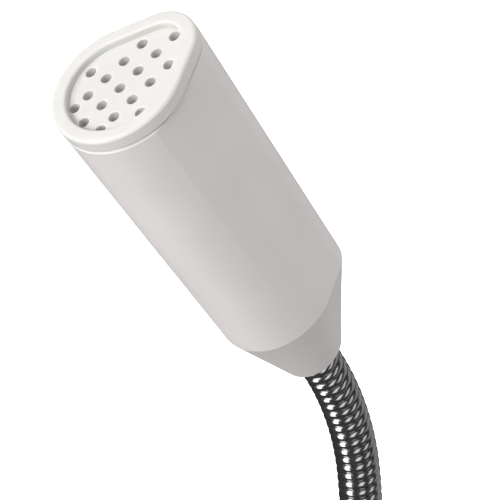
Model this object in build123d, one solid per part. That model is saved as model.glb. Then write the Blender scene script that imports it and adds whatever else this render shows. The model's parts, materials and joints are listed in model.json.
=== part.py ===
from build123d import *
import math
import os

# Gooseneck podium microphone, in millimetres, +Z up.
# The origin is on the plug's axis, at the face of the plug housing that stops against a receptacle.
# The front of the microphone, the broad side of its head, faces -Y.

# Flexible neck
NECK_RADIUS = 4.0
NECK_JOINTS = 12  # bending points, numbered from the head down
SEGMENT = 16.0  # from one bending point to the next
JOINT_GAP = 1.0  # bare neck on each side of a bending point
RIDGES = 7  # ridges of the outer winding on one segment
RIDGE_DEPTH = 0.5
WRAP_BORE_RADIUS = 3.0
SPRING_RADIUS = 2.9
SPRING_BORE_RADIUS = 2.3
CABLE_RADIUS = 1.6
REST_BENDS = {1: 12.7, 2: 12.7, 3: 6.5}  # degrees towards the front, at the bending points by the head
HEAD_TILT = sum(REST_BENDS.values())

# Head, in its own frame: z runs from the neck's exit towards the grille, the broad side is at -y
HOLE_PITCH = 4.15
HOLE_RADIUS = 0.98
HOLE_CHAMFER = 0.12
BROAD_RADIUS = 12.2
NARROW_RADIUS = 7.55
CENTRE_GAP = 8.8  # between the centres of the broad and the narrow arc
BROAD_Y = 1.75  # the broad arc's centre, behind the neck's axis
END_SCALE = 0.892  # the head's section at its lower end, against its section at the grille
END_Y = 0.37
RING_RADIUS = 5.6  # the tip of the cone, around the neck
CONE_TOP = 15.4
SHOULDER_RADIUS = 0.5
SEAM = 74.2  # where the grille cap meets the shell
SHELL_CHAMFER = 0.5  # the two chamfers make the groove at the seam
CAP_CHAMFER = 0.2
CREASE = -8.0  # degrees round the broad arc to the crease along each flank
FLANK_START = 5.0  # the way the flank faces beside the crease at the seam, and where it runs straight
FLANK_END = 28.0
HOLE_PLANE = 75.6
RIM_TOP = 77.0
RIM_WIDTH = 2.65
PLATE = 1.8
WALL = 1.8
SKIRT = 3.5
CAP_FIT = 0.2

# Grille holes: columns by their distance from the middle, and places from the narrow end, in pitches
HOLE_COLUMNS = {0.0: (0, 1, 2, 3, 4, 5), 1.0: (1.05, 2.05, 3.05, 4.05, 4.8), 1.9: (3.25,)}
FIRST_HOLE_Y = 14.2

# Capsule
CAPSULE_RADIUS = 4.85
CAPSULE_HEIGHT = 6.5
CAPSULE_BASE = 60.0
BOOT_RADIUS = 6.2
CARRIER_THICKNESS = 4.0
FOAM_THICKNESS = 5.5
CABLE_TOP = 54.0

# Neck fixing inside the cone
FERRULE_RADIUS = 4.8
FERRULE_LENGTH = 16.6
NECK_INSERTION = 10.0
CAVITY_FLOOR = 13.0

# Plug
BARREL_RADIUS = 9.4
BARREL_BORE = 8.15
BARREL_LENGTH = 15.5
WINDOW_HEIGHT = -11.5  # the middle of the window that a socket's latch drops into
SLEEVE_RADIUS = 9.2
SLEEVE_LENGTH = 12.0
PIN_RADIUS = 1.2
PIN_CIRCLE = 3.96
PIN_TIP = -13.0
PIN_ANGLES = (30, 150, 270)
INSERT_HEIGHT = 7.0
CUP_RADIUS = 1.5
CUP_TOP = 11.0

# Plug housing and collar
HOUSING_RADIUS = 10.8
HOUSING_BORE = 9.3
HOUSING_TOP = 72.0
HOUSING_SHOULDER = 60.0
HOUSING_TOP_RADIUS = 8.6
HOUSING_CEILING = 66.0
SPIGOT_RADIUS = 6.0
RING_GAP = 1.0  # the sealing ring's space between the housing and the collar
COLLAR_TOP = 92.0
COLLAR_TIP_RADIUS = 5.4
COLLAR_SEAT = 80.0  # the neck stands on this shoulder inside the collar
SCREW_HEIGHT = 86.0
SET_SCREW_RADIUS = 1.5
BOARD_BOTTOM = 14.0
BOARD_TOP = 58.0
BOARD_WIDTH = 14.0
BOARD_THICKNESS = 1.2
CABLE_BOTTOM = 60.0


def save(name, *solids):
    """Writes one node; several solids stay separate solids."""
    shape = solids[0] if len(solids) == 1 else Compound(children=list(solids))
    export_step(shape, f"parts/{name}.step")


def tube(outer, inner, bottom, top):
    """A tube along z."""
    height = top - bottom
    ring = Cylinder(outer, height) - Cylinder(inner, height)
    return Pos(0, 0, (bottom + top) / 2) * ring


def disc(radius, bottom, top, x=0.0, y=0.0):
    """A solid cylinder along z."""
    return Pos(x, y, (bottom + top) / 2) * Cylinder(radius, top - bottom)


def rod(start, end, radius):
    """A straight round wire between two points."""
    run = Vector(*end) - Vector(*start)
    middle = Vector(*start) + run / 2
    return Plane(origin=middle, z_dir=run) * Cylinder(radius, run.length)


def egg(broad, narrow, gap, broad_y, inset=0.0):
    """The head's section: two arcs joined by their common tangents, narrow end at +y."""
    slope = math.asin((broad - narrow) / gap)
    broad, narrow = broad - inset, narrow - inset
    side = Vector(math.cos(slope), math.sin(slope))
    low = Vector(0, broad_y) + side * broad
    high = Vector(0, broad_y + gap) + side * narrow
    low_mirror, high_mirror = Vector(-low.X, low.Y), Vector(-high.X, high.Y)
    outline = Line(low, high)
    outline += ThreePointArc(high, Vector(0, broad_y + gap + narrow), high_mirror)
    outline += Line(high_mirror, low_mirror)
    outline += ThreePointArc(low_mirror, Vector(0, broad_y - broad), low)
    return make_face(outline)


def face_section(inset=0.0):
    """The head's section at the grille."""
    return egg(BROAD_RADIUS, NARROW_RADIUS, CENTRE_GAP, BROAD_Y, inset)


def creased(broad_radius, narrow_radius, gap, broad_y, start=CREASE, end=None):
    """The shell's outside: the egg's two arcs, and flanks that begin at a crease and end straight.

    start is the way a flank faces at its crease, and end the way it faces where it runs straight. Left
    out, they make the plain egg with its broad arc split in three.
    """
    end = math.asin((broad_radius - narrow_radius) / gap) if end is None else math.radians(end)
    crease, start = math.radians(CREASE), math.radians(start)
    broad, narrow = Vector(0, broad_y), Vector(0, broad_y + gap)
    straight = Vector(math.cos(end), math.sin(end))
    corner = broad + Vector(math.cos(crease), math.sin(crease)) * broad_radius
    turn = Vector(math.cos(end) - math.cos(start), math.sin(end) - math.sin(start))
    radius = ((narrow - corner).dot(straight) + narrow_radius) / turn.dot(straight)
    middle = (start + end) / 2
    bend = corner + Vector(math.cos(middle) - math.cos(start), math.sin(middle) - math.sin(start)) * radius
    flank = corner + turn * radius
    tip = narrow + straight * narrow_radius
    corner_mirror, bend_mirror, flank_mirror, tip_mirror = (
        Vector(-point.X, point.Y) for point in (corner, bend, flank, tip)
    )
    outline = ThreePointArc(corner, bend, flank) + Line(flank, tip)
    outline += ThreePointArc(tip, narrow + Vector(0, narrow_radius), tip_mirror)
    outline += Line(tip_mirror, flank_mirror) + ThreePointArc(flank_mirror, bend_mirror, corner_mirror)
    outline += ThreePointArc(corner_mirror, broad - Vector(0, broad_radius), corner)
    return make_face(outline)


def end_section(inset=0.0):
    """The head's section where the body ends and the cone begins."""
    return egg(
        BROAD_RADIUS * END_SCALE, NARROW_RADIUS * END_SCALE, CENTRE_GAP * END_SCALE, END_Y, inset
    )


def prism(section, bottom, top):
    return Pos(0, 0, bottom) * extrude(section, top - bottom)


def head_shell():
    """One moulding: the tapered body and the cone that grips the neck."""
    top = creased(BROAD_RADIUS, NARROW_RADIUS, CENTRE_GAP, BROAD_Y, FLANK_START, FLANK_END)
    end = creased(BROAD_RADIUS * END_SCALE, NARROW_RADIUS * END_SCALE, CENTRE_GAP * END_SCALE, END_Y)
    ring = creased(RING_RADIUS, RING_RADIUS - 0.25, 0.7, -0.2)
    shell = loft([Pos(0, 0, SEAM) * top, Pos(0, 0, CONE_TOP) * end, ring], ruled=True)
    hollow = loft(
        [Pos(0, 0, SEAM) * face_section(WALL), Pos(0, 0, CONE_TOP) * end_section(WALL)], ruled=True
    )
    floor = disc(BROAD_RADIUS * END_SCALE - WALL - 1.0, CAVITY_FLOOR, CONE_TOP)
    bore = disc(FERRULE_RADIUS + 0.05, -1.0, CONE_TOP)
    shoulder = shell.edges().filter_by(lambda edge: abs(edge.center().Z - CONE_TOP) < 0.1)
    shell = fillet(shoulder, SHOULDER_RADIUS)
    shell = chamfer(shell.faces().sort_by(Axis.Z)[-1].edges(), SHELL_CHAMFER)
    return shell - hollow - floor - bore


def grille_cap():
    """The perforated cap: a raised rim round a recessed plate, with a skirt inside the shell."""
    cap = prism(face_section(), SEAM, RIM_TOP)
    cap = fillet(cap.faces().sort_by(Axis.Z)[-1].edges(), 0.7)
    cap = chamfer(cap.faces().sort_by(Axis.Z)[0].edges(), CAP_CHAMFER)
    cap -= prism(face_section(RIM_WIDTH), HOLE_PLANE, RIM_TOP)
    cap = fillet(cap.faces().sort_by(Axis.Z)[-1].inner_wires()[0].edges(), 0.5)
    skirt_inset = WALL + CAP_FIT
    cap += prism(face_section(skirt_inset), SEAM - SKIRT, SEAM)
    cap -= prism(face_section(skirt_inset + 1.0), SEAM - SKIRT, HOLE_PLANE - PLATE)
    for column, places in HOLE_COLUMNS.items():
        for side in {column, -column}:
            for place in places:
                y = FIRST_HOLE_Y - place * HOLE_PITCH
                cap -= disc(HOLE_RADIUS, SEAM - SKIRT, RIM_TOP, side * HOLE_PITCH, y)
                rim = Cone(HOLE_RADIUS, HOLE_RADIUS + HOLE_CHAMFER, HOLE_CHAMFER)
                cap -= Pos(side * HOLE_PITCH, y, HOLE_PLANE - HOLE_CHAMFER / 2) * rim
    return cap


def head_parts():
    """The head's pieces in the head's own frame."""
    cloth_top = HOLE_PLANE - PLATE
    cloth_bottom = cloth_top - 0.4
    foam_bottom = cloth_bottom - FOAM_THICKNESS
    inside = WALL + CAP_FIT + 1.1
    can_top = CAPSULE_BASE + CAPSULE_HEIGHT
    carrier = prism(face_section(WALL + 1.0), CAPSULE_BASE, CAPSULE_BASE + CARRIER_THICKNESS)
    carrier -= disc(BOOT_RADIUS, CAPSULE_BASE, CAPSULE_BASE + CARRIER_THICKNESS)
    carrier -= disc(2.5, CAPSULE_BASE, CAPSULE_BASE + CARRIER_THICKNESS, 0, 12.0)
    nut = extrude(RegularPolygon(6.6, 6), 2.6) - Cylinder(FERRULE_RADIUS, 10)
    ferrule = tube(FERRULE_RADIUS, NECK_RADIUS + 0.05, 0.4, FERRULE_LENGTH)
    return {
        "head_shell": [head_shell()],
        "grille_cap": [grille_cap()],
        "grille_cloth": [prism(face_section(inside), cloth_bottom, cloth_top)],
        "foam_pad": [prism(face_section(inside), foam_bottom, cloth_bottom)],
        "capsule_carrier": [carrier],
        "capsule_boot": [tube(BOOT_RADIUS, CAPSULE_RADIUS, CAPSULE_BASE - 1.0, can_top - 1.0)],
        "capsule_can": [disc(CAPSULE_RADIUS, CAPSULE_BASE, can_top)],
        "capsule_felt": [disc(CAPSULE_RADIUS - 0.3, can_top, can_top + 0.5)],
        "capsule_board": [disc(CAPSULE_RADIUS - 0.2, CAPSULE_BASE - 0.8, CAPSULE_BASE)],
        "capsule_leads": [
            rod((x * 0.8, 0, CABLE_TOP + 0.2), (x * 2.2, 0, CAPSULE_BASE - 1.0), 0.4) for x in (-1, 1)
        ],
        "neck_ferrule": [ferrule],
        "ferrule_washer": [tube(7.2, FERRULE_RADIUS, CAVITY_FLOOR, CAVITY_FLOOR + 0.6)],
        "ferrule_nut": [Pos(0, 0, CAVITY_FLOOR + 0.6) * nut],
    }


def direction(tilt):
    """The way a piece of neck points when it leans forward by this many degrees."""
    lean = math.radians(tilt)
    return Vector(0, -math.sin(lean), math.cos(lean))


def segment_tilt(number):
    """The lean of the neck just below bending point number."""
    return HEAD_TILT - sum(bend for joint, bend in REST_BENDS.items() if joint <= number)


def bending_points():
    """The bending points, by number, and the point where the neck enters the head."""
    points = {NECK_JOINTS: Vector(0, 0, COLLAR_TOP + SEGMENT / 2)}
    for number in range(NECK_JOINTS - 1, 0, -1):
        points[number] = points[number + 1] + direction(segment_tilt(number)) * SEGMENT
    return points, points[1] + direction(HEAD_TILT) * (SEGMENT / 2)


def neck_wrap(bottom, top, ridges):
    """A stretch of the outer winding: a sleeve with one rounded ridge to each turn."""
    pitch = (top - bottom) / ridges
    valley = NECK_RADIUS - RIDGE_DEPTH
    outline = Line((WRAP_BORE_RADIUS, top), (WRAP_BORE_RADIUS, bottom))
    outline += Line((WRAP_BORE_RADIUS, bottom), (valley, bottom))
    for turn in range(ridges):
        low = bottom + turn * pitch
        outline += ThreePointArc((valley, low), (NECK_RADIUS, low + pitch / 2), (valley, low + pitch))
    outline += Line((valley, top), (WRAP_BORE_RADIUS, top))
    return revolve(Plane.XZ * make_face(outline), Axis.Z)


def neck_parts():
    """The windings of each neck segment, from the one in the head (00) to the one in the base."""
    points, head_exit = bending_points()
    pitch = (SEGMENT - 2 * JOINT_GAP) / RIDGES
    end_ridges = round((SEGMENT / 2 - JOINT_GAP) / pitch) + round(NECK_INSERTION / pitch)
    pieces = {}
    for number in range(NECK_JOINTS + 1):
        if number == 0:
            place = Pos(*points[1]) * Rot(HEAD_TILT, 0, 0)
            low, high = JOINT_GAP, SEGMENT / 2 + NECK_INSERTION
            ridges = end_ridges
        elif number == NECK_JOINTS:
            place = Pos(*points[number])
            low, high = COLLAR_SEAT - points[number].Z, -JOINT_GAP
            ridges = end_ridges
        else:
            place = Pos(*points[number + 1]) * Rot(segment_tilt(number), 0, 0)
            low, high = JOINT_GAP, SEGMENT - JOINT_GAP
            ridges = RIDGES
        pieces[f"neck_wrap_{number:02d}"] = [place * neck_wrap(low, high, ridges)]
        spring = tube(SPRING_RADIUS, SPRING_BORE_RADIUS, low, high)
        pieces[f"neck_spring_{number:02d}"] = [place * spring]
    return pieces, Pos(*head_exit) * Rot(HEAD_TILT, 0, 0)


def signal_cable(head_place):
    """The screened cable inside the neck, from the preamplifier to the capsule."""
    points, head_exit = bending_points()
    bend = SEGMENT / 2 / math.tan(math.radians(REST_BENDS[1] / 2)) * 0.98
    corners = [Vector(0, 0, CABLE_BOTTOM)]
    corners += [points[number] for number in sorted(REST_BENDS, reverse=True)]
    corners += [head_exit + direction(HEAD_TILT) * CABLE_TOP]
    path = FilletPolyline(*corners, radius=bend)
    start = Plane(origin=path @ 0, z_dir=path % 0)
    return sweep(start * Circle(CABLE_RADIUS), path=path)


def plug_parts():
    """The plug, its housing with the preamplifier, and the collar that holds the neck."""
    barrel = tube(BARREL_RADIUS, BARREL_BORE, -BARREL_LENGTH, 0)
    barrel += tube(SLEEVE_RADIUS, BARREL_BORE, 0, SLEEVE_LENGTH)
    barrel -= Pos(0, -BARREL_RADIUS, WINDOW_HEIGHT) * Box(5.0, 4.0, 3.5)
    insert = disc(BARREL_BORE - 0.03, 0, INSERT_HEIGHT)
    housing = disc(HOUSING_RADIUS, 0, HOUSING_SHOULDER)
    shoulder = Cone(HOUSING_RADIUS, HOUSING_TOP_RADIUS, HOUSING_TOP - HOUSING_SHOULDER)
    housing += Pos(0, 0, (HOUSING_TOP + HOUSING_SHOULDER) / 2) * shoulder
    housing = chamfer(housing.edges().sort_by(Axis.Z)[0], 0.6)
    housing -= disc(HOUSING_BORE, 0, HOUSING_CEILING)
    housing -= disc(SPIGOT_RADIUS, HOUSING_CEILING, HOUSING_TOP)
    flange = HOUSING_TOP + RING_GAP
    collar = Cone(HOUSING_TOP_RADIUS, COLLAR_TIP_RADIUS, COLLAR_TOP - flange)
    collar = Pos(0, 0, (COLLAR_TOP + flange) / 2) * collar
    collar += disc(SPIGOT_RADIUS, HOUSING_CEILING, flange)
    collar -= disc(NECK_RADIUS + 0.05, COLLAR_SEAT, COLLAR_TOP)
    collar -= disc(SPRING_BORE_RADIUS, HOUSING_CEILING, COLLAR_SEAT)
    screw_run = Pos(0, 0, SCREW_HEIGHT) * Rot(-90, 0, 0)
    collar -= screw_run * disc(SET_SCREW_RADIUS, 0, HOUSING_RADIUS)
    set_screw = disc(SET_SCREW_RADIUS, NECK_RADIUS + 0.1, NECK_RADIUS + 2.1)
    set_screw -= Pos(0, 0, NECK_RADIUS + 1.5) * extrude(RegularPolygon(0.85, 6), 1.0)
    pins, cups, wires, screws = [], [], [], []
    for angle in PIN_ANGLES:
        x = PIN_CIRCLE * math.cos(math.radians(angle))
        y = PIN_CIRCLE * math.sin(math.radians(angle))
        pin = disc(PIN_RADIUS, PIN_TIP, INSERT_HEIGHT, x, y)
        pin = chamfer(pin.edges().sort_by(Axis.Z)[0], 0.5)
        pins.append(pin + disc(CUP_RADIUS, INSERT_HEIGHT, CUP_TOP, x, y))
        insert -= disc(PIN_RADIUS, 0, INSERT_HEIGHT, x, y)
        face = math.copysign(BOARD_THICKNESS / 2 + 0.55, y)
        wires.append(rod((x, y, CUP_TOP + 0.3), (x * 0.9, face, BOARD_BOTTOM + 5.0), 0.45))
    for turn in (0, 180):
        run = Rot(0, 0, turn) * Pos(0, 0, 6.0) * Rot(0, 90, 0)
        head_start = HOUSING_RADIUS - 1.0
        screw = disc(1.0, BARREL_BORE + 0.2, head_start) + disc(1.9, head_start, HOUSING_RADIUS)
        housing -= run * (disc(1.0, BARREL_BORE, head_start) + disc(1.9, head_start, HOUSING_RADIUS))
        barrel -= run * disc(1.0, BARREL_BORE - 1.0, HOUSING_BORE)
        screw -= Pos(0, 0, HOUSING_RADIUS) * Box(0.5, 3.0, 0.9)
        screws.append(run * screw)
    board_height = BOARD_TOP - BOARD_BOTTOM
    board_middle = (BOARD_TOP + BOARD_BOTTOM) / 2
    front = BOARD_THICKNESS / 2
    capacitors = [
        Pos(x, front + 2.6, height) * Cylinder(2.5, 6.0) for x, height in ((-3.6, 27), (3.6, 27), (0, 47))
    ]
    chips = [
        Pos(x, -front - 0.8, height) * Box(width, 1.6, 5.0)
        for x, height, width in ((0, 25, 8.0), (0, 36, 8.0), (3.0, 47, 4.5), (-3.4, 47, 3.0))
    ]
    return {
        "xlr_barrel": [barrel],
        "xlr_insert": [insert],
        "contact_pins": pins,
        "contact_wires": wires,
        "ground_tab": [Pos(0, 6.0, INSERT_HEIGHT + 1.5) * Box(3.0, 0.5, 3.0)],
        "plug_housing": [housing],
        "housing_screws": screws,
        "preamp_board": [Pos(0, 0, board_middle) * Box(BOARD_WIDTH, BOARD_THICKNESS, board_height)],
        "preamp_capacitors": capacitors,
        "preamp_chips": chips,
        "board_leads": [
            rod((x * 0.8, front + 0.45, CABLE_BOTTOM - 0.2), (x * 2.4, front + 0.45, BOARD_TOP - 3.0), 0.4)
            for x in (-1, 1)
        ],
        "cable_clamp": [tube(2.8, CABLE_RADIUS, CABLE_BOTTOM + 1.0, CABLE_BOTTOM + 5.0)],
        "neck_collar": [collar],
        "collar_o_ring": [Pos(0, 0, HOUSING_TOP + RING_GAP / 2) * Torus(7.4, RING_GAP / 2 - 0.01)],
        "collar_set_screw": [screw_run * set_screw],
    }


os.makedirs("parts", exist_ok=True)
neck_pieces, head_place = neck_parts()
for node, pieces in plug_parts().items():
    save(node, *pieces)
for node, pieces in neck_pieces.items():
    save(node, *pieces)
for node, pieces in head_parts().items():
    save(node, *[head_place * piece for piece in pieces])
save("signal_cable", signal_cable(head_place))
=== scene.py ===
import json
import math

import bmesh
import bpy
from mathutils import Matrix, Vector


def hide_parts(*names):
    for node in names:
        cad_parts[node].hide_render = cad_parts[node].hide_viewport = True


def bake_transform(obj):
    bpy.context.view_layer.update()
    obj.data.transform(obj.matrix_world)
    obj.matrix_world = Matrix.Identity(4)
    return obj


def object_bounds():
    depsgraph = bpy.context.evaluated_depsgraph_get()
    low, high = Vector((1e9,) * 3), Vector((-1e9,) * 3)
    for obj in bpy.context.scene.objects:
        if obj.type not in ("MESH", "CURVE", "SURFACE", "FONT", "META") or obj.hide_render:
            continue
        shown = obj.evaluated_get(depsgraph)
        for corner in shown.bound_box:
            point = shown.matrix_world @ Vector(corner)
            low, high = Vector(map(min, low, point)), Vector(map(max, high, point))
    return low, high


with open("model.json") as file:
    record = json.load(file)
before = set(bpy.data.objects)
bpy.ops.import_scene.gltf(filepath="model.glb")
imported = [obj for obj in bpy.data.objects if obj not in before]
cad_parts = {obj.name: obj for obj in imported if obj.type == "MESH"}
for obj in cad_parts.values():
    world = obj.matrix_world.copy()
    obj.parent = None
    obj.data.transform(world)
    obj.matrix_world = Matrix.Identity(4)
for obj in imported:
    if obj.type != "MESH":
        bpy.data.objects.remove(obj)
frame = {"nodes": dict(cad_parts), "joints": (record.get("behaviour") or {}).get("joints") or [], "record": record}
cad_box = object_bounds()
bpy.context.scene.view_settings.view_transform = "Standard"

# ---------------------------------------------------------------- sizes, in metres
MM = 0.001
SEGMENT = 16.0 * MM  # from one bending point of the neck to the next
HEAD_TILT = 31.9  # degrees, forwards from upright
NECK_INSERTION = 10.0 * MM  # how far the neck goes into the head
BARE_END = 2.0 * MM  # the windings stop this far short of the neck's end

WIRE_TOP = 4.0 * MM  # outside radius of the neck
WIRE_FLOOR = 3.02 * MM
WIRE_PITCH = 2.0 * MM
WIRE_HALF_WIDTH = 0.93 * MM
WIRE_FOOT = 0.8  # the width of the wire's foot, as a share of its whole width
RIDGE_HEIGHT = 0.45 * MM  # how far the wire's back rises above its sides
RIDGE_ROUNDNESS = 0.6  # 0.5 is an ellipse, and more is more pointed
RIDGE_STEPS = 18
WIRE_STEPS = 40  # cross-sections in one turn, as are the spring's

SPRING_RADIUS = 2.47 * MM
SPRING_WIRE = 0.42 * MM
SPRING_PITCH = 1.0 * MM
SPRING_SIDES = 8
SPRING_STEPS = 24

CABLE_RADIUS = 1.6 * MM
CABLE_SIDES = 20
CABLE_STEPS = 24  # cross-sections in one stretch

# ---------------------------------------------------------------- the frame's facts
joints = {joint["name"]: joint for joint in frame["joints"]}
JOINT_COUNT = len(joints)  # numbered from the head down


def pivot(number):
    return Vector(joints[f"neck_bend_{number:02d}"]["pos_m"])


def lean(degrees):
    """The direction of a piece of neck that leans forwards by this much."""
    angle = math.radians(degrees)
    return Vector((0.0, -math.sin(angle), math.cos(angle)))


def direction_above(number):
    """The neck's direction just above a bending point."""
    if number == 1:
        return lean(HEAD_TILT)
    return (pivot(number - 1) - pivot(number)).normalized()


def direction_below(number):
    """The neck's direction just below a bending point."""
    if number == JOINT_COUNT:
        return Vector((0.0, 0.0, 1.0))
    return (pivot(number) - pivot(number + 1)).normalized()


head_exit = pivot(1) + lean(HEAD_TILT) * (SEGMENT / 2)
# the head's own frame: z runs from the neck's exit to the grille
head_place = Matrix.Translation(head_exit) @ Matrix.Rotation(math.radians(HEAD_TILT), 4, "X")

# ---------------------------------------------------------------- camera
AZIMUTH = 57.4
ELEVATION = 31.8
DISTANCE = 0.689
FOCAL_LENGTH = 288.0  # in millimetres, as is the sensor's width
SENSOR_WIDTH = 36.0
TARGET = Vector((0.34 * MM, 2.18 * MM, 28.67 * MM))  # in the head's frame


def towards(azimuth, elevation):
    """The direction from the object to where a camera or a light stands."""
    a, e = math.radians(azimuth), math.radians(elevation)
    return Vector((math.sin(a) * math.cos(e), -math.cos(a) * math.cos(e), math.sin(e)))


def add_aimed(name, data, aim, azimuth, elevation, distance):
    """Add a camera or a light that looks at a point from an angle round it."""
    back = towards(azimuth, elevation)
    thing = bpy.data.objects.new(name, data)
    thing.location = aim + back * distance
    thing.rotation_euler = (-back).to_track_quat("-Z", "Y").to_euler()
    bpy.context.scene.collection.objects.link(thing)
    return thing


def add_camera():
    data = bpy.data.cameras.new("camera")
    data.sensor_width = SENSOR_WIDTH
    data.lens = FOCAL_LENGTH
    data.clip_start = 0.01
    data.clip_end = 20.0
    camera = add_aimed("camera", data, head_place @ TARGET, AZIMUTH, ELEVATION, DISTANCE)
    bpy.context.scene.camera = camera


add_camera()

# ---------------------------------------------------------------- mesh helpers
SHARP_ANGLE = 50.0  # degrees; edges that turn more than this stay sharp


def add_mesh(name, points, faces, material):
    mesh = bpy.data.meshes.new(name)
    mesh.from_pydata([tuple(point) for point in points], [], faces)
    mesh.validate()
    mesh.update()
    mesh.materials.append(material)
    piece = bpy.data.objects.new(name, mesh)
    bpy.context.scene.collection.objects.link(piece)
    return piece


def shade_smooth(mesh):
    bm = bmesh.new()
    bm.from_mesh(mesh)
    bmesh.ops.recalc_face_normals(bm, faces=bm.faces)
    limit = math.radians(SHARP_ANGLE)
    for face in bm.faces:
        face.smooth = True
    for edge in bm.edges:
        edge.smooth = not (len(edge.link_faces) == 2 and edge.calc_face_angle(0.0) > limit)
    bm.to_mesh(mesh)
    bm.free()


def tube_along(name, rings, material):
    """A closed tube through rings of points, each ring a list of the same length."""
    points, faces = [], []
    count = len(rings[0])
    for ring in rings:
        points.extend(ring)
    for row in range(len(rings) - 1):
        base = row * count
        for column in range(count):
            after = (column + 1) % count
            faces.append((base + column, base + after, base + count + after, base + count + column))
    last = (len(rings) - 1) * count
    faces.append(tuple(reversed(range(count))))
    faces.append(tuple(range(last, last + count)))
    piece = add_mesh(name, points, faces, material)
    shade_smooth(piece.data)
    return piece


# ---------------------------------------------------------------- materials
SPECK_SHADE = (0.72, 0.71, 0.70)  # a dust speck's colour, as shares of the plastic's darker tone


def new_material(name):
    material = bpy.data.materials.new(name)
    material.use_nodes = True
    nodes = material.node_tree.nodes
    return material, nodes, material.node_tree.links, nodes["Principled BSDF"]


def object_coordinates(nodes, links, scale=(1, 1, 1)):
    coordinates = nodes.new("ShaderNodeTexCoord")
    mapping = nodes.new("ShaderNodeMapping")
    mapping.inputs["Scale"].default_value = scale
    links.new(coordinates.outputs["Object"], mapping.inputs["Vector"])
    return mapping.outputs["Vector"]


def noise(nodes, links, vector, scale, detail, roughness):
    texture = nodes.new("ShaderNodeTexNoise")
    texture.inputs["Scale"].default_value = scale
    texture.inputs["Detail"].default_value = detail
    texture.inputs["Roughness"].default_value = roughness
    links.new(vector, texture.inputs["Vector"])
    return texture.outputs["Fac"]


def ramp(nodes, links, factor, stops):
    """A colour ramp with two (position, colour) stops."""
    node = nodes.new("ShaderNodeValToRGB")
    for element, (position, colour) in zip(node.color_ramp.elements, stops):
        element.position = position
        element.color = (*colour, 1.0)
    links.new(factor, node.inputs["Fac"])
    return node.outputs["Color"]


def vary_roughness(nodes, links, factor, shader, low, high):
    node = nodes.new("ShaderNodeMapRange")
    node.inputs["To Min"].default_value = low
    node.inputs["To Max"].default_value = high
    links.new(factor, node.inputs["Value"])
    links.new(node.outputs["Result"], shader.inputs["Roughness"])


def bump(nodes, links, height, shader, strength, distance):
    node = nodes.new("ShaderNodeBump")
    node.inputs["Strength"].default_value = strength
    node.inputs["Distance"].default_value = distance
    links.new(height, node.inputs["Height"])
    links.new(node.outputs["Normal"], shader.inputs["Normal"])


def dust_specks(nodes, links, vector, colour, dark):
    """The colour with a few small darker specks over it."""
    voronoi = nodes.new("ShaderNodeTexVoronoi")
    voronoi.inputs["Scale"].default_value = 230.0
    voronoi.inputs["Randomness"].default_value = 1.0
    links.new(vector, voronoi.inputs["Vector"])
    speck = ramp(nodes, links, voronoi.outputs["Distance"], [(0.0, (1, 1, 1)), (0.045, (0, 0, 0))])
    mix = nodes.new("ShaderNodeMix")
    mix.data_type = "RGBA"
    mix.inputs["B"].default_value = (*(tone * shade for tone, shade in zip(dark, SPECK_SHADE)), 1.0)
    links.new(speck, mix.inputs["Factor"])
    links.new(colour, mix.inputs["A"])
    return mix.outputs["Result"]


def moulded_plastic(name, light, dark, roughness, grain, specks=False, translucent=0.0):
    """Satin moulded plastic: a faint cloudy tone and a fine spark-eroded grain."""
    material, nodes, links, shader = new_material(name)
    vector = object_coordinates(nodes, links)
    cloud = noise(nodes, links, vector, scale=60.0, detail=4.0, roughness=0.55)
    colour = ramp(nodes, links, cloud, [(0.3, dark), (0.7, light)])
    if specks:
        colour = dust_specks(nodes, links, vector, colour, dark)
    links.new(colour, shader.inputs["Base Color"])
    vary_roughness(nodes, links, cloud, shader, roughness - 0.05, roughness + 0.07)
    relief = noise(nodes, links, vector, scale=4200.0, detail=2.0, roughness=0.5)
    bump(nodes, links, relief, shader, grain, 0.03 * MM)
    shader.inputs["IOR"].default_value = 1.49
    shader.inputs["Subsurface Weight"].default_value = translucent
    shader.inputs["Subsurface Radius"].default_value = (1.0, 0.85, 0.75)
    shader.inputs["Subsurface Scale"].default_value = 0.9 * MM
    return material


def metal(name, light, dark, roughness, scratch=(900, 900, 60), spread=0.12, strength=0.06):
    """Plated or turned metal: its tone and gloss vary along fine directional marks."""
    material, nodes, links, shader = new_material(name)
    vector = object_coordinates(nodes, links, scratch)
    streaks = noise(nodes, links, vector, scale=3.0, detail=6.0, roughness=0.6)
    links.new(ramp(nodes, links, streaks, [(0.3, dark), (0.7, light)]), shader.inputs["Base Color"])
    vary_roughness(nodes, links, streaks, shader, roughness, roughness + spread)
    bump(nodes, links, streaks, shader, strength, 0.02 * MM)
    shader.inputs["Metallic"].default_value = 1.0
    return material


def matt(name, light, dark, roughness, scale, height=0.08 * MM, strength=0.5):
    """Rubber, foam, felt, board or sleeve: a grain of its own scale in colour and relief."""
    material, nodes, links, shader = new_material(name)
    vector = object_coordinates(nodes, links)
    grain = noise(nodes, links, vector, scale, detail=3.0, roughness=0.6)
    links.new(ramp(nodes, links, grain, [(0.35, dark), (0.65, light)]), shader.inputs["Base Color"])
    shader.inputs["Roughness"].default_value = roughness
    bump(nodes, links, grain, shader, strength, height)
    return material


def mesh_cloth(name, light, dark):
    """Acoustic cloth: a fine square weave of pale threads."""
    material, nodes, links, shader = new_material(name)
    vector = object_coordinates(nodes, links)
    weave = nodes.new("ShaderNodeMath")
    weave.operation = "MAXIMUM"
    for axis, socket in zip("XY", weave.inputs):
        threads = nodes.new("ShaderNodeTexWave")
        threads.bands_direction = axis
        threads.inputs["Scale"].default_value = 900.0
        threads.inputs["Distortion"].default_value = 0.4
        links.new(vector, threads.inputs["Vector"])
        links.new(threads.outputs["Fac"], socket)
    height = weave.outputs[0]
    links.new(ramp(nodes, links, height, [(0.2, dark), (0.8, light)]), shader.inputs["Base Color"])
    shader.inputs["Roughness"].default_value = 0.85
    bump(nodes, links, height, shader, 0.6, 0.1 * MM)
    return material


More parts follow.
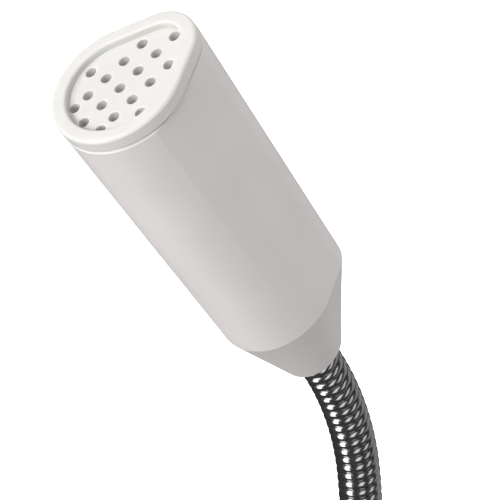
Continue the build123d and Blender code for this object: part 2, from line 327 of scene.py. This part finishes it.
# each with its light tone, its dark tone and, except for the cloth, its roughness
MATERIALS = {
    "shell_plastic": moulded_plastic(
        "shell_plastic", (0.60, 0.573, 0.567), (0.572, 0.545, 0.539), 0.45, grain=0.25, specks=True
    ),
    "cap_plastic": moulded_plastic(
        "cap_plastic", (0.573, 0.564, 0.546), (0.548, 0.539, 0.522), 0.42, grain=0.2, translucent=0.6
    ),
    "housing_plastic": moulded_plastic(
        "housing_plastic", (0.60, 0.573, 0.567), (0.56, 0.535, 0.529), 0.42, grain=0.3
    ),
    "inner_plastic": moulded_plastic(
        "inner_plastic", (0.025, 0.025, 0.027), (0.016, 0.016, 0.018), 0.4, grain=0.4
    ),
    "chrome_wrap": metal(
        "chrome_wrap", (0.80, 0.81, 0.82), (0.70, 0.71, 0.72), 0.14,
        scratch=(2200, 2200, 2200), spread=0.06, strength=0.015,
    ),
    # the inner spring is a real part, but its very dark tone is painted shade: it stands in for the shade in the
    # narrow gaps between the outer windings
    "spring_steel": metal(
        "spring_steel", (0.16, 0.16, 0.17), (0.07, 0.07, 0.075), 0.32, scratch=(600, 600, 600)
    ),
    "plated_steel": metal("plated_steel", (0.66, 0.66, 0.64), (0.52, 0.52, 0.50), 0.25),
    "nickel": metal("nickel", (0.72, 0.69, 0.64), (0.58, 0.56, 0.52), 0.22, spread=0.14),
    "brass": metal("brass", (0.90, 0.70, 0.34), (0.76, 0.56, 0.24), 0.18),
    "capsule_metal": metal("capsule_metal", (0.74, 0.75, 0.76), (0.60, 0.61, 0.62), 0.24),
    "black_steel": metal("black_steel", (0.05, 0.05, 0.05), (0.025, 0.025, 0.027), 0.35),
    "black_rubber": matt(
        "black_rubber", (0.022, 0.022, 0.022), (0.012, 0.012, 0.012), 0.62, scale=900.0
    ),
    "black_felt": matt(
        "black_felt", (0.03, 0.03, 0.03), (0.008, 0.008, 0.008), 0.95,
        scale=2600.0, height=0.2 * MM, strength=0.9,
    ),
    "foam": matt(
        "foam", (0.10, 0.10, 0.10), (0.02, 0.02, 0.02), 0.95,
        scale=1900.0, height=0.4 * MM, strength=1.0,
    ),
    "circuit_board": matt(
        "circuit_board", (0.02, 0.16, 0.06), (0.012, 0.10, 0.04), 0.35, scale=500.0, height=0.02 * MM
    ),
    "wire_insulation": matt(
        "wire_insulation", (0.45, 0.03, 0.02), (0.34, 0.02, 0.015), 0.35, scale=700.0
    ),
    "capacitor_sleeve": matt(
        "capacitor_sleeve", (0.03, 0.035, 0.07), (0.018, 0.02, 0.045), 0.3, scale=400.0
    ),
    "cable_jacket": matt("cable_jacket", (0.03, 0.03, 0.03), (0.018, 0.018, 0.018), 0.55, scale=900.0),
    "acoustic_cloth": mesh_cloth("acoustic_cloth", (0.42, 0.42, 0.41), (0.20, 0.20, 0.195)),
}

for part in frame["record"]["subparts"]:
    node = frame["nodes"][part["node"]]
    node.data.materials.clear()
    node.data.materials.append(MATERIALS[part["material_slot"]])


# ---------------------------------------------------------------- the neck
NO_TURN = 1e-6  # radians; a stretch that turns less than this is straight


def zone_line(number, steps, before, after):
    """Points, tangents and in-plane normals along the neck round one bending point.

    The line runs from the middle of the segment below to the middle of the one above, on the arc
    that touches both, with straight lengths added before and after it.
    """
    start_way, end_way = direction_below(number), direction_above(number)
    half = SEGMENT / 2
    turn = start_way.angle(end_way)
    start = pivot(number) - start_way * half
    length = before + SEGMENT + after
    line = []
    for step in range(steps + 1):
        place = length * step / steps - before
        share = min(max(place / SEGMENT, 0.0), 1.0)
        angle = turn * share
        tangent = (Matrix.Rotation(angle, 3, "X") @ start_way).normalized()
        if place < 0:
            point = start + start_way * place
        elif place > SEGMENT:
            point = pivot(number) + end_way * (half + place - SEGMENT)
        elif turn > NO_TURN:
            radius = half / math.tan(turn / 2)
            inward = Matrix.Rotation(math.radians(90), 3, "X") @ start_way
            forwards = start_way * (radius * math.sin(angle))
            sideways = inward * (radius * (1 - math.cos(angle)))
            point = start + forwards + sideways
        else:
            point = start + start_way * (SEGMENT * share)
        normal = Matrix.Rotation(math.radians(-90), 3, "X") @ tangent
        line.append((point, tangent, normal))
    return line


def zone_reach(number):
    """How far the windings and the cable run on past the zone, into the collar and the head."""
    before = SEGMENT / 2 if number == JOINT_COUNT else 0.0
    after = NECK_INSERTION - BARE_END if number == 1 else 0.0
    return before, after


def winding(number, name, profile, pitch, per_turn, slot):
    """One bending point's stretch of a helical wire, from a profile of (radius, axial offset)."""
    before, after = zone_reach(number)
    turns = (before + SEGMENT + after) / pitch
    steps = round(turns * per_turn)
    rings = []
    for step, (point, tangent, normal) in enumerate(zone_line(number, steps, before, after)):
        angle = 2 * math.pi * (step / per_turn - before / pitch)
        across = tangent.cross(normal)
        outward = normal * math.cos(angle) + across * math.sin(angle)
        rings.append([point + outward * radius + tangent * offset for radius, offset in profile])
    return tube_along(f"{name}_{number:02d}", rings, MATERIALS[slot])


def ridge_profile():
    """The outer wire's section: a flat foot on the spring, short sides and a crowned back."""
    foot = WIRE_HALF_WIDTH * WIRE_FOOT
    profile = [(WIRE_FLOOR, -foot), (WIRE_FLOOR, foot)]
    for index in range(RIDGE_STEPS + 1):
        across = math.cos(math.pi * index / RIDGE_STEPS)
        crown = max(1.0 - across ** 2, 0.0) ** RIDGE_ROUNDNESS
        profile.append((WIRE_TOP - RIDGE_HEIGHT * (1.0 - crown), WIRE_HALF_WIDTH * across))
    return profile


def angles_round(count):
    return [2 * math.pi * index / count for index in range(count)]


def spring_profile():
    return [
        (SPRING_RADIUS + SPRING_WIRE * math.cos(angle), SPRING_WIRE * math.sin(angle))
        for angle in angles_round(SPRING_SIDES)
    ]


def cable_stretch(number):
    """The cable's stretch round one bending point, a plain round tube."""
    before, after = zone_reach(number)
    rings = []
    for point, tangent, normal in zone_line(number, CABLE_STEPS, before, after):
        across = tangent.cross(normal)
        rings.append([
            point + (normal * math.cos(angle) + across * math.sin(angle)) * CABLE_RADIUS
            for angle in angles_round(CABLE_SIDES)
        ])
    return tube_along(f"cable_stretch_{number:02d}", rings, MATERIALS["cable_jacket"])


def bend_with_neck(piece):
    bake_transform(piece)


def build_neck():
    """The windings and the cable, which replace the neck's segments one bending point at a time."""
    ridge, spring = ridge_profile(), spring_profile()
    for number in range(1, JOINT_COUNT + 1):
        wrap = winding(number, "outer_winding", ridge, WIRE_PITCH, WIRE_STEPS, "chrome_wrap")
        inner = winding(number, "inner_winding", spring, SPRING_PITCH, SPRING_STEPS, "spring_steel")
        cable = cable_stretch(number)
        bend_with_neck(wrap)
        bend_with_neck(inner)
        bend_with_neck(cable)
        wraps, springs = [f"neck_wrap_{number:02d}"], [f"neck_spring_{number:02d}"]
        if number == 1:
            wraps.append("neck_wrap_00")
            springs.append("neck_spring_00")
            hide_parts("signal_cable")
        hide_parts(*wraps)
        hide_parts(*springs)


build_neck()

# ---------------------------------------------------------------- floor, world and lights
FLOOR_HALF_WIDTH = 6.0
FLOOR_GLOW = 0.8  # brings the lit floor up to white
FILL_LEVEL = 0.58  # the world's brightness as light on the object
MIRRORED_LEVEL = 0.04  # its brightness as a reflection
LIGHT_AIM = Vector((0.0, 0.0, 40.0 * MM))  # in the head's frame
LIGHT_DISTANCE = 1.2
SOFT_BOX_SIZE = 0.5
SOFT_BOXES = [  # name, azimuth, elevation, watts
    ("front", 20, 20, 12.4),
    ("left", -15, 15, 6.2),
    ("right", 150, 25, 2.4),
    ("behind", 185, 30, 3.6),
    ("top", 0, 88, 3.8),
]
STRIPS = [  # name, azimuth, elevation, width, height, brightness
    ("strip_left", 3, -15, 0.50, 1.7, 2.4),
    ("strip_middle", 68, -6, 0.5, 1.3, 0.8),
    ("strip_right", 118, -6, 0.4, 1.3, 0.55),
    ("strip_edge", 175, 0, 1.0, 2.4, 0.2),
]


def add_floor():
    """A pale floor at the object's foot. Only the camera sees it, so it adds no light or shade."""
    material, _, _, shader = new_material("floor")
    shader.inputs["Base Color"].default_value = (0.95, 0.95, 0.95, 1.0)
    shader.inputs["Roughness"].default_value = 0.9
    shader.inputs["Emission Color"].default_value = (1.0, 1.0, 1.0, 1.0)
    shader.inputs["Emission Strength"].default_value = FLOOR_GLOW
    low = cad_box[0][2]
    sides = [(-1, -1), (1, -1), (1, 1), (-1, 1)]
    corners = [(x * FLOOR_HALF_WIDTH, y * FLOOR_HALF_WIDTH, low) for x, y in sides]
    floor = add_mesh("floor", corners, [(0, 1, 2, 3)], material)
    floor.visible_glossy = False
    floor.visible_diffuse = False
    floor.visible_shadow = False


def grey(level):
    return (level, level, level, 1.0)


def add_world():
    """White to the eye, a soft fill on the object, and dark where polished metal mirrors it."""
    world = bpy.data.worlds.new("studio")
    bpy.context.scene.world = world
    world.use_nodes = True
    nodes, links = world.node_tree.nodes, world.node_tree.links
    path = nodes.new("ShaderNodeLightPath")
    colour = None
    for output, level in (("Is Glossy Ray", MIRRORED_LEVEL), ("Is Camera Ray", 1.0)):
        mix = nodes.new("ShaderNodeMix")
        mix.data_type = "RGBA"
        mix.inputs["A"].default_value = grey(FILL_LEVEL)
        mix.inputs["B"].default_value = grey(level)
        links.new(path.outputs[output], mix.inputs["Factor"])
        if colour:
            links.new(colour, mix.inputs["A"])
        colour = mix.outputs["Result"]
    links.new(colour, nodes["Background"].inputs["Color"])


def add_light(name, azimuth, elevation, width, height, power, mirrored):
    """A flat light that looks at the head.

    The soft boxes light the object. The mirrored lights are the strips that polished metal
    reflects, and they light nothing else.
    """
    data = bpy.data.lights.new(name, "AREA")
    data.shape = "RECTANGLE"
    data.size = width
    data.size_y = height
    data.energy = power
    light = add_aimed(name, data, head_place @ LIGHT_AIM, azimuth, elevation, LIGHT_DISTANCE)
    light.visible_glossy = mirrored
    light.visible_diffuse = not mirrored


def add_lights():
    for name, azimuth, elevation, power in SOFT_BOXES:
        add_light(name, azimuth, elevation, SOFT_BOX_SIZE, SOFT_BOX_SIZE, power, mirrored=False)
    for name, azimuth, elevation, width, height, brightness in STRIPS:
        power = brightness * math.pi * width * height  # the watts that make it this bright
        add_light(name, azimuth, elevation, width, height, power, mirrored=True)


add_floor()
add_world()
add_lights()
